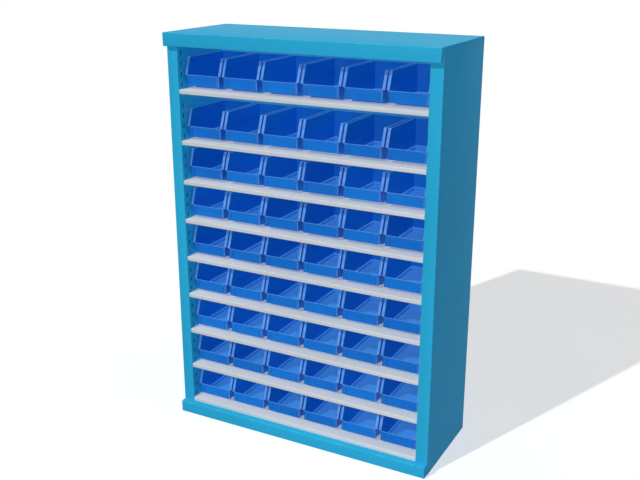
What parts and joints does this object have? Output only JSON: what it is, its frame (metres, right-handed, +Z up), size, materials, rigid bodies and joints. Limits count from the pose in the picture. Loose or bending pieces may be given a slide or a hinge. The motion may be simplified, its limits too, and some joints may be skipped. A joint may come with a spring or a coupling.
{
  "type": "tray storage cabinet",
  "caption": "Open-fronted steel cabinet with slotted sides and folded shelves, each holding a row of pull-out plastic stacking bins for small parts.",
  "frame": {"origin": "middle of the footprint, on the floor", "axes": "+X along the front to the right, +Y from the open front to the back, +Z up"},
  "size_m": [0.7, 0.27, 1],
  "materials": {
    "carcass_paint": "satin powder coat, mid blue",
    "shelf_paint": "satin powder coat, light grey",
    "bin_plastic": "moulded polypropylene, satin gloss, bright blue"
  },
  "bodies": {
    "cabinet": {"side_panels": "carcass_paint", "top_panel": "carcass_paint", "base_panel": "carcass_paint", "back_panel": "carcass_paint", "shelves": "shelf_paint", "shelf_clips": "carcass_paint"},
    "bin_row1_col1": {"bin_row1_col1": "bin_plastic"},
    "bin_row1_col2": {"bin_row1_col2": "bin_plastic"},
    "bin_row1_col3": {"bin_row1_col3": "bin_plastic"},
    "bin_row1_col4": {"bin_row1_col4": "bin_plastic"},
    "bin_row1_col5": {"bin_row1_col5": "bin_plastic"},
    "bin_row1_col6": {"bin_row1_col6": "bin_plastic"},
    "bin_row2_col1": {"bin_row2_col1": "bin_plastic"},
    "bin_row2_col2": {"bin_row2_col2": "bin_plastic"},
    "bin_row2_col3": {"bin_row2_col3": "bin_plastic"},
    "bin_row2_col4": {"bin_row2_col4": "bin_plastic"},
    "bin_row2_col5": {"bin_row2_col5": "bin_plastic"},
    "bin_row2_col6": {"bin_row2_col6": "bin_plastic"},
    "bin_row3_col1": {"bin_row3_col1": "bin_plastic"},
    "bin_row3_col2": {"bin_row3_col2": "bin_plastic"},
    "bin_row3_col3": {"bin_row3_col3": "bin_plastic"},
    "bin_row3_col4": {"bin_row3_col4": "bin_plastic"},
    "bin_row3_col5": {"bin_row3_col5": "bin_plastic"},
    "bin_row3_col6": {"bin_row3_col6": "bin_plastic"},
    "bin_row4_col1": {"bin_row4_col1": "bin_plastic"},
    "bin_row4_col2": {"bin_row4_col2": "bin_plastic"},
    "bin_row4_col3": {"bin_row4_col3": "bin_plastic"},
    "bin_row4_col4": {"bin_row4_col4": "bin_plastic"},
    "bin_row4_col5": {"bin_row4_col5": "bin_plastic"},
    "bin_row4_col6": {"bin_row4_col6": "bin_plastic"},
    "bin_row5_col1": {"bin_row5_col1": "bin_plastic"},
    "bin_row5_col2": {"bin_row5_col2": "bin_plastic"},
    "bin_row5_col3": {"bin_row5_col3": "bin_plastic"},
    "bin_row5_col4": {"bin_row5_col4": "bin_plastic"},
    "bin_row5_col5": {"bin_row5_col5": "bin_plastic"},
    "bin_row5_col6": {"bin_row5_col6": "bin_plastic"},
    "bin_row6_col1": {"bin_row6_col1": "bin_plastic"},
    "bin_row6_col2": {"bin_row6_col2": "bin_plastic"},
    "bin_row6_col3": {"bin_row6_col3": "bin_plastic"},
    "bin_row6_col4": {"bin_row6_col4": "bin_plastic"},
    "bin_row6_col5": {"bin_row6_col5": "bin_plastic"},
    "bin_row6_col6": {"bin_row6_col6": "bin_plastic"},
    "bin_row7_col1": {"bin_row7_col1": "bin_plastic"},
    "bin_row7_col2": {"bin_row7_col2": "bin_plastic"},
    "bin_row7_col3": {"bin_row7_col3": "bin_plastic"},
    "bin_row7_col4": {"bin_row7_col4": "bin_plastic"},
    "bin_row7_col5": {"bin_row7_col5": "bin_plastic"},
    "bin_row7_col6": {"bin_row7_col6": "bin_plastic"},
    "bin_row8_col1": {"bin_row8_col1": "bin_plastic"},
    "bin_row8_col2": {"bin_row8_col2": "bin_plastic"},
    "bin_row8_col3": {"bin_row8_col3": "bin_plastic"},
    "bin_row8_col4": {"bin_row8_col4": "bin_plastic"},
    "bin_row8_col5": {"bin_row8_col5": "bin_plastic"},
    "bin_row8_col6": {"bin_row8_col6": "bin_plastic"},
    "bin_row9_col1": {"bin_row9_col1": "bin_plastic"},
    "bin_row9_col2": {"bin_row9_col2": "bin_plastic"},
    "bin_row9_col3": {"bin_row9_col3": "bin_plastic"},
    "bin_row9_col4": {"bin_row9_col4": "bin_plastic"},
    "bin_row9_col5": {"bin_row9_col5": "bin_plastic"},
    "bin_row9_col6": {"bin_row9_col6": "bin_plastic"}
  },
  "joints": [
    {"name": "bin_row1_col1_slide", "type": "slide", "parent": "cabinet", "child": "bin_row1_col1", "axis": [0, -1, 0], "range_m": [0, 0.21]},
    {"name": "bin_row1_col2_slide", "type": "slide", "parent": "cabinet", "child": "bin_row1_col2", "axis": [0, -1, 0], "range_m": [0, 0.21]},
    {"name": "bin_row1_col3_slide", "type": "slide", "parent": "cabinet", "child": "bin_row1_col3", "axis": [0, -1, 0], "range_m": [0, 0.21]},
    {"name": "bin_row1_col4_slide", "type": "slide", "parent": "cabinet", "child": "bin_row1_col4", "axis": [0, -1, 0], "range_m": [0, 0.21]},
    {"name": "bin_row1_col5_slide", "type": "slide", "parent": "cabinet", "child": "bin_row1_col5", "axis": [0, -1, 0], "range_m": [0, 0.21]},
    {"name": "bin_row1_col6_slide", "type": "slide", "parent": "cabinet", "child": "bin_row1_col6", "axis": [0, -1, 0], "range_m": [0, 0.21]},
    {"name": "bin_row2_col1_slide", "type": "slide", "parent": "cabinet", "child": "bin_row2_col1", "axis": [0, -1, 0], "range_m": [0, 0.21]},
    {"name": "bin_row2_col2_slide", "type": "slide", "parent": "cabinet", "child": "bin_row2_col2", "axis": [0, -1, 0], "range_m": [0, 0.21]},
    {"name": "bin_row2_col3_slide", "type": "slide", "parent": "cabinet", "child": "bin_row2_col3", "axis": [0, -1, 0], "range_m": [0, 0.21]},
    {"name": "bin_row2_col4_slide", "type": "slide", "parent": "cabinet", "child": "bin_row2_col4", "axis": [0, -1, 0], "range_m": [0, 0.21]},
    {"name": "bin_row2_col5_slide", "type": "slide", "parent": "cabinet", "child": "bin_row2_col5", "axis": [0, -1, 0], "range_m": [0, 0.21]},
    {"name": "bin_row2_col6_slide", "type": "slide", "parent": "cabinet", "child": "bin_row2_col6", "axis": [0, -1, 0], "range_m": [0, 0.21]},
    {"name": "bin_row3_col1_slide", "type": "slide", "parent": "cabinet", "child": "bin_row3_col1", "axis": [0, -1, 0], "range_m": [0, 0.21]},
    {"name": "bin_row3_col2_slide", "type": "slide", "parent": "cabinet", "child": "bin_row3_col2", "axis": [0, -1, 0], "range_m": [0, 0.21]},
    {"name": "bin_row3_col3_slide", "type": "slide", "parent": "cabinet", "child": "bin_row3_col3", "axis": [0, -1, 0], "range_m": [0, 0.21]},
    {"name": "bin_row3_col4_slide", "type": "slide", "parent": "cabinet", "child": "bin_row3_col4", "axis": [0, -1, 0], "range_m": [0, 0.21]},
    {"name": "bin_row3_col5_slide", "type": "slide", "parent": "cabinet", "child": "bin_row3_col5", "axis": [0, -1, 0], "range_m": [0, 0.21]},
    {"name": "bin_row3_col6_slide", "type": "slide", "parent": "cabinet", "child": "bin_row3_col6", "axis": [0, -1, 0], "range_m": [0, 0.21]},
    {"name": "bin_row4_col1_slide", "type": "slide", "parent": "cabinet", "child": "bin_row4_col1", "axis": [0, -1, 0], "range_m": [0, 0.21]},
    {"name": "bin_row4_col2_slide", "type": "slide", "parent": "cabinet", "child": "bin_row4_col2", "axis": [0, -1, 0], "range_m": [0, 0.21]},
    {"name": "bin_row4_col3_slide", "type": "slide", "parent": "cabinet", "child": "bin_row4_col3", "axis": [0, -1, 0], "range_m": [0, 0.21]},
    {"name": "bin_row4_col4_slide", "type": "slide", "parent": "cabinet", "child": "bin_row4_col4", "axis": [0, -1, 0], "range_m": [0, 0.21]},
    {"name": "bin_row4_col5_slide", "type": "slide", "parent": "cabinet", "child": "bin_row4_col5", "axis": [0, -1, 0], "range_m": [0, 0.21]},
    {"name": "bin_row4_col6_slide", "type": "slide", "parent": "cabinet", "child": "bin_row4_col6", "axis": [0, -1, 0], "range_m": [0, 0.21]},
    {"name": "bin_row5_col1_slide", "type": "slide", "parent": "cabinet", "child": "bin_row5_col1", "axis": [0, -1, 0], "range_m": [0, 0.21]},
    {"name": "bin_row5_col2_slide", "type": "slide", "parent": "cabinet", "child": "bin_row5_col2", "axis": [0, -1, 0], "range_m": [0, 0.21]},
    {"name": "bin_row5_col3_slide", "type": "slide", "parent": "cabinet", "child": "bin_row5_col3", "axis": [0, -1, 0], "range_m": [0, 0.21]},
    {"name": "bin_row5_col4_slide", "type": "slide", "parent": "cabinet", "child": "bin_row5_col4", "axis": [0, -1, 0], "range_m": [0, 0.21]},
    {"name": "bin_row5_col5_slide", "type": "slide", "parent": "cabinet", "child": "bin_row5_col5", "axis": [0, -1, 0], "range_m": [0, 0.21]},
    {"name": "bin_row5_col6_slide", "type": "slide", "parent": "cabinet", "child": "bin_row5_col6", "axis": [0, -1, 0], "range_m": [0, 0.21]},
    {"name": "bin_row6_col1_slide", "type": "slide", "parent": "cabinet", "child": "bin_row6_col1", "axis": [0, -1, 0], "range_m": [0, 0.21]},
    {"name": "bin_row6_col2_slide", "type": "slide", "parent": "cabinet", "child": "bin_row6_col2", "axis": [0, -1, 0], "range_m": [0, 0.21]},
    {"name": "bin_row6_col3_slide", "type": "slide", "parent": "cabinet", "child": "bin_row6_col3", "axis": [0, -1, 0], "range_m": [0, 0.21]},
    {"name": "bin_row6_col4_slide", "type": "slide", "parent": "cabinet", "child": "bin_row6_col4", "axis": [0, -1, 0], "range_m": [0, 0.21]},
    {"name": "bin_row6_col5_slide", "type": "slide", "parent": "cabinet", "child": "bin_row6_col5", "axis": [0, -1, 0], "range_m": [0, 0.21]},
    {"name": "bin_row6_col6_slide", "type": "slide", "parent": "cabinet", "child": "bin_row6_col6", "axis": [0, -1, 0], "range_m": [0, 0.21]},
    {"name": "bin_row7_col1_slide", "type": "slide", "parent": "cabinet", "child": "bin_row7_col1", "axis": [0, -1, 0], "range_m": [0, 0.21]},
    {"name": "bin_row7_col2_slide", "type": "slide", "parent": "cabinet", "child": "bin_row7_col2", "axis": [0, -1, 0], "range_m": [0, 0.21]},
    {"name": "bin_row7_col3_slide", "type": "slide", "parent": "cabinet", "child": "bin_row7_col3", "axis": [0, -1, 0], "range_m": [0, 0.21]},
    {"name": "bin_row7_col4_slide", "type": "slide", "parent": "cabinet", "child": "bin_row7_col4", "axis": [0, -1, 0], "range_m": [0, 0.21]},
    {"name": "bin_row7_col5_slide", "type": "slide", "parent": "cabinet", "child": "bin_row7_col5", "axis": [0, -1, 0], "range_m": [0, 0.21]},
    {"name": "bin_row7_col6_slide", "type": "slide", "parent": "cabinet", "child": "bin_row7_col6", "axis": [0, -1, 0], "range_m": [0, 0.21]},
    {"name": "bin_row8_col1_slide", "type": "slide", "parent": "cabinet", "child": "bin_row8_col1", "axis": [0, -1, 0], "range_m": [0, 0.21]},
    {"name": "bin_row8_col2_slide", "type": "slide", "parent": "cabinet", "child": "bin_row8_col2", "axis": [0, -1, 0], "range_m": [0, 0.21]},
    {"name": "bin_row8_col3_slide", "type": "slide", "parent": "cabinet", "child": "bin_row8_col3", "axis": [0, -1, 0], "range_m": [0, 0.21]},
    {"name": "bin_row8_col4_slide", "type": "slide", "parent": "cabinet", "child": "bin_row8_col4", "axis": [0, -1, 0], "range_m": [0, 0.21]},
    {"name": "bin_row8_col5_slide", "type": "slide", "parent": "cabinet", "child": "bin_row8_col5", "axis": [0, -1, 0], "range_m": [0, 0.21]},
    {"name": "bin_row8_col6_slide", "type": "slide", "parent": "cabinet", "child": "bin_row8_col6", "axis": [0, -1, 0], "range_m": [0, 0.21]},
    {"name": "bin_row9_col1_slide", "type": "slide", "parent": "cabinet", "child": "bin_row9_col1", "axis": [0, -1, 0], "range_m": [0, 0.21]},
    {"name": "bin_row9_col2_slide", "type": "slide", "parent": "cabinet", "child": "bin_row9_col2", "axis": [0, -1, 0], "range_m": [0, 0.21]},
    {"name": "bin_row9_col3_slide", "type": "slide", "parent": "cabinet", "child": "bin_row9_col3", "axis": [0, -1, 0], "range_m": [0, 0.21]},
    {"name": "bin_row9_col4_slide", "type": "slide", "parent": "cabinet", "child": "bin_row9_col4", "axis": [0, -1, 0], "range_m": [0, 0.21]},
    {"name": "bin_row9_col5_slide", "type": "slide", "parent": "cabinet", "child": "bin_row9_col5", "axis": [0, -1, 0], "range_m": [0, 0.21]},
    {"name": "bin_row9_col6_slide", "type": "slide", "parent": "cabinet", "child": "bin_row9_col6", "axis": [0, -1, 0], "range_m": [0, 0.21]}
  ]
}
